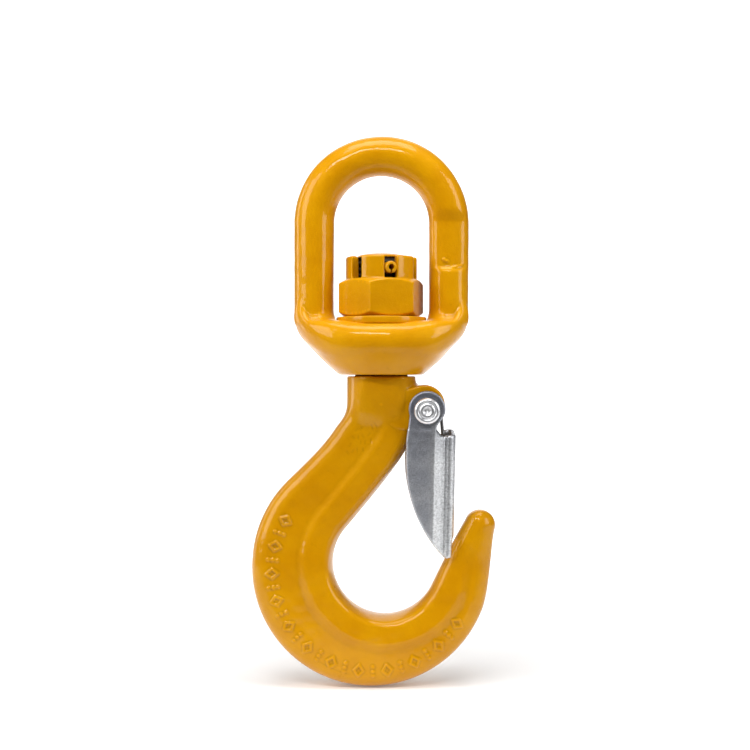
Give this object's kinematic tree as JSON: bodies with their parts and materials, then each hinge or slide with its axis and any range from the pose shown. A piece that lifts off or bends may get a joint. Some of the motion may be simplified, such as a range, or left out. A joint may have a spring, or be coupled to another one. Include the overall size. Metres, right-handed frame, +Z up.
{
  "type": "swivel hook",
  "caption": "Forged swivel lifting hook: an oval bail turns on the hook's nutted shank, and a sprung gate latch closes the hook's throat.",
  "frame": {"origin": "on the swivel axis, at the lowest point of the inside of the bail's arch, where a load line seats", "axes": "+Z up along the swivel axis, +X towards the hook's tip and latch, +Y to the back"},
  "size_m": [0.1021, 0.0478, 0.23],
  "materials": {
    "painted_forging": "gloss enamel over forged steel",
    "painted_nut": "gloss enamel over machined steel",
    "painted_washer": "gloss enamel over steel",
    "zinc_sheet": "bright zinc plate",
    "rivet_steel": "bright zinc plate, turned",
    "pin_steel": "spring steel with overspray",
    "spring_steel": "drawn spring wire"
  },
  "bodies": {
    "bail": {"swivel_bail": "painted_forging", "thrust_washer": "painted_washer"},
    "hook": {"hook_body": "painted_forging", "castle_nut": "painted_nut", "nut_roll_pin": "pin_steel", "latch_rivet": "rivet_steel", "latch_spring": "spring_steel"},
    "latch": {"latch": "zinc_sheet"}
  },
  "joints": [
    {"name": "swivel", "type": "hinge", "parent": "bail", "child": "hook", "pos_m": [0, 0, 0], "axis": [0, 0, 1], "continuous": true},
    {"name": "latch_pivot", "type": "hinge", "parent": "hook", "child": "latch", "pos_m": [0.0188, 0, -0.0984], "axis": [0, 1, 0], "range_deg": [0, 38], "stiffness_Nm_per_rad": 0.19, "springref_deg": -51.57, "deforming": ["latch_spring"]}
  ]
}
